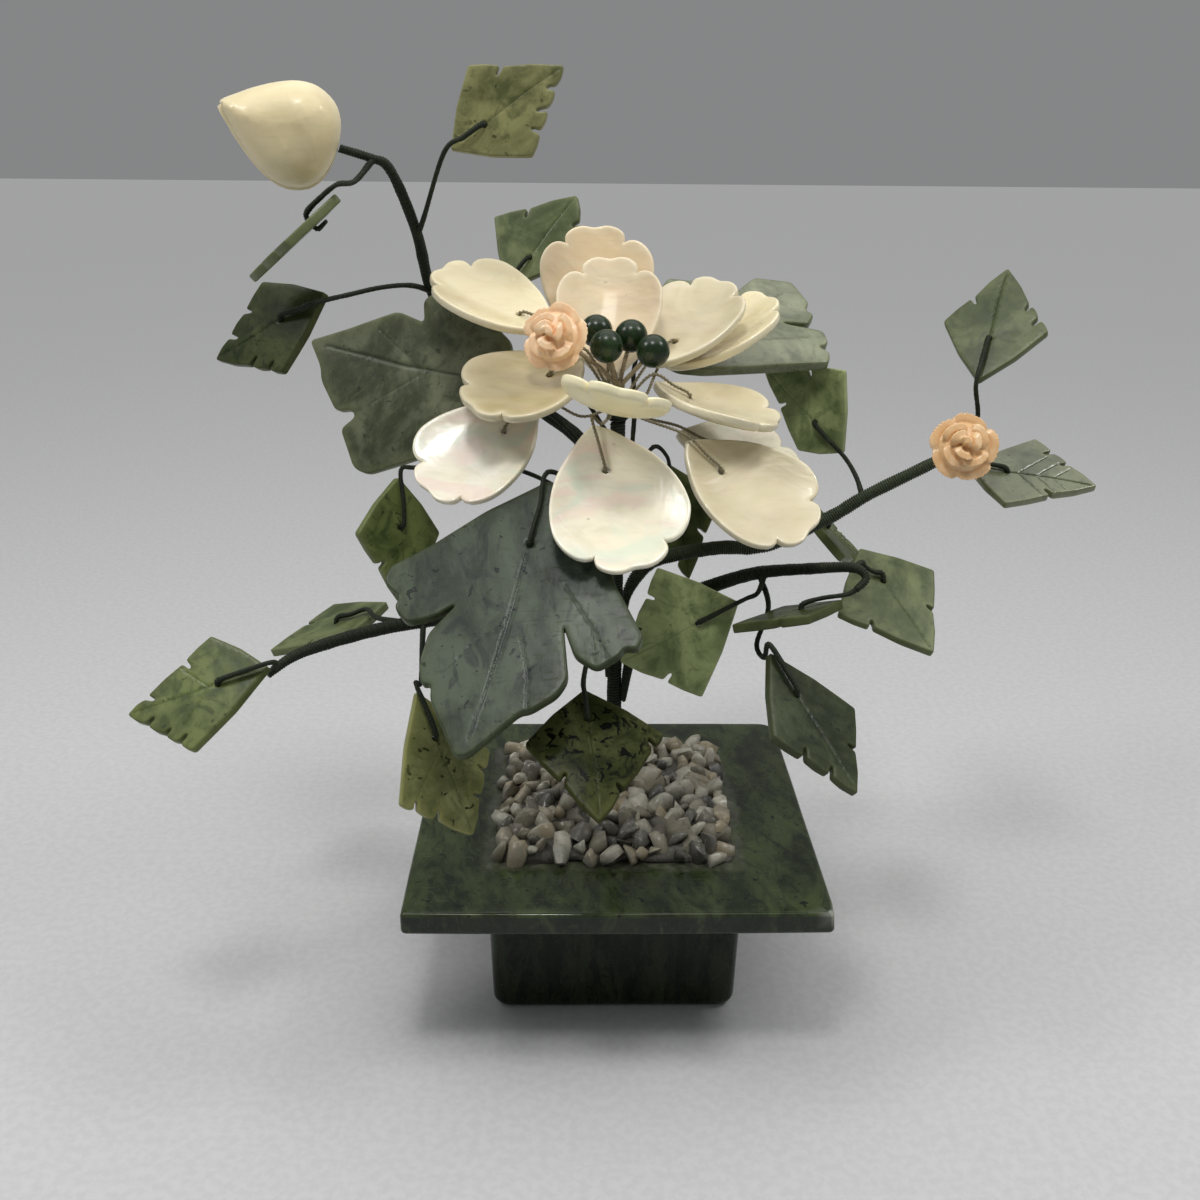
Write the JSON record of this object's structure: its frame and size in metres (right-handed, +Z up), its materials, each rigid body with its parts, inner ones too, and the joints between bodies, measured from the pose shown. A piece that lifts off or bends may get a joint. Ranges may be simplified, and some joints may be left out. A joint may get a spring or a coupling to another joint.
{
  "type": "jade bonsai tree ornament",
  "caption": "Ornamental tree in a square jade planter: carved jade leaves, pearl-shell petals, beads and small carved roses held on stiff thread-wrapped wire stems.",
  "frame": {"origin": "centre of the pot's flat underside", "axes": "+Z up the trunk, -Y towards the side that the flower and the large leaf face, +X to the viewer's right when the flower is faced"},
  "size_m": [0.172, 0.1038, 0.1675],
  "materials": {
    "pot_jade": "polished dark green nephrite with lighter streaks",
    "plaster": "matte plaster, out of sight",
    "pebbles": "small glassy grey and tan pebbles set in clear glue",
    "leaf_jade": "satin carved nephrite, olive to grey-green",
    "petal_shell": "cream mother-of-pearl, satin with a faint sheen",
    "green_thread": "dark green silk thread wound on steel wire",
    "brown_thread": "brown-grey thread wound on thin twisted wire",
    "bead_jade": "polished dark green beads",
    "pink_coral": "carved peach stone, satin",
    "pale_coral": "carved pale cream stone, satin"
  },
  "bodies": {
    "root": {"bead_1": "bead_jade", "bead_2": "bead_jade", "bead_3": "bead_jade", "bead_4": "bead_jade", "branch_bud": "green_thread", "branch_low_left": "green_thread", "branch_low_right": "green_thread", "branch_rose": "green_thread", "bud": "petal_shell", "flower_wires": "brown_thread", "gravel": "pebbles", "leaf_01_bud_stem": "leaf_jade", "leaf_02_under_bud": "leaf_jade", "leaf_03_left": "leaf_jade", "leaf_04_back_top": "leaf_jade", "leaf_05_left_large": "leaf_jade", "leaf_06_left_hanging": "leaf_jade", "leaf_07_front_large": "leaf_jade", "leaf_08_low_back": "leaf_jade", "leaf_09_low_left": "leaf_jade", "leaf_10_front_left": "leaf_jade", "leaf_11_front": "leaf_jade", "leaf_12_low_middle": "leaf_jade", "leaf_13_right_flat": "leaf_jade", "leaf_14_right_hanging": "leaf_jade", "leaf_15_right": "leaf_jade", "leaf_16_behind_petals": "leaf_jade", "leaf_17_behind_flower": "leaf_jade", "leaf_18_behind_right": "leaf_jade", "leaf_19_top_right": "leaf_jade", "leaf_20_far_right": "leaf_jade", "leaf_21_right_large": "leaf_jade", "petal_01_left": "petal_shell", "petal_02_back": "petal_shell", "petal_03_back_inner": "petal_shell", "petal_04_right_back": "petal_shell", "petal_05_right_outer": "petal_shell", "petal_06_left_inner": "petal_shell", "petal_07_front_left": "petal_shell", "petal_08_front_inner": "petal_shell", "petal_09_front": "petal_shell", "petal_10_right_inner": "petal_shell", "petal_11_right_front": "petal_shell", "petal_12_right_back": "petal_shell", "plaster_fill": "plaster", "pot_body": "pot_jade", "pot_rim": "pot_jade", "rose_pale": "pale_coral", "rose_pink": "pink_coral", "stamen_wires": "brown_thread", "trunk": "green_thread", "wire_leaf_04": "green_thread", "wire_leaf_05": "green_thread", "wire_leaf_06": "green_thread", "wire_leaf_07": "green_thread", "wire_leaf_11": "green_thread", "wire_leaf_17": "green_thread", "wire_leaf_21": "green_thread"}
  },
  "joints": []
}
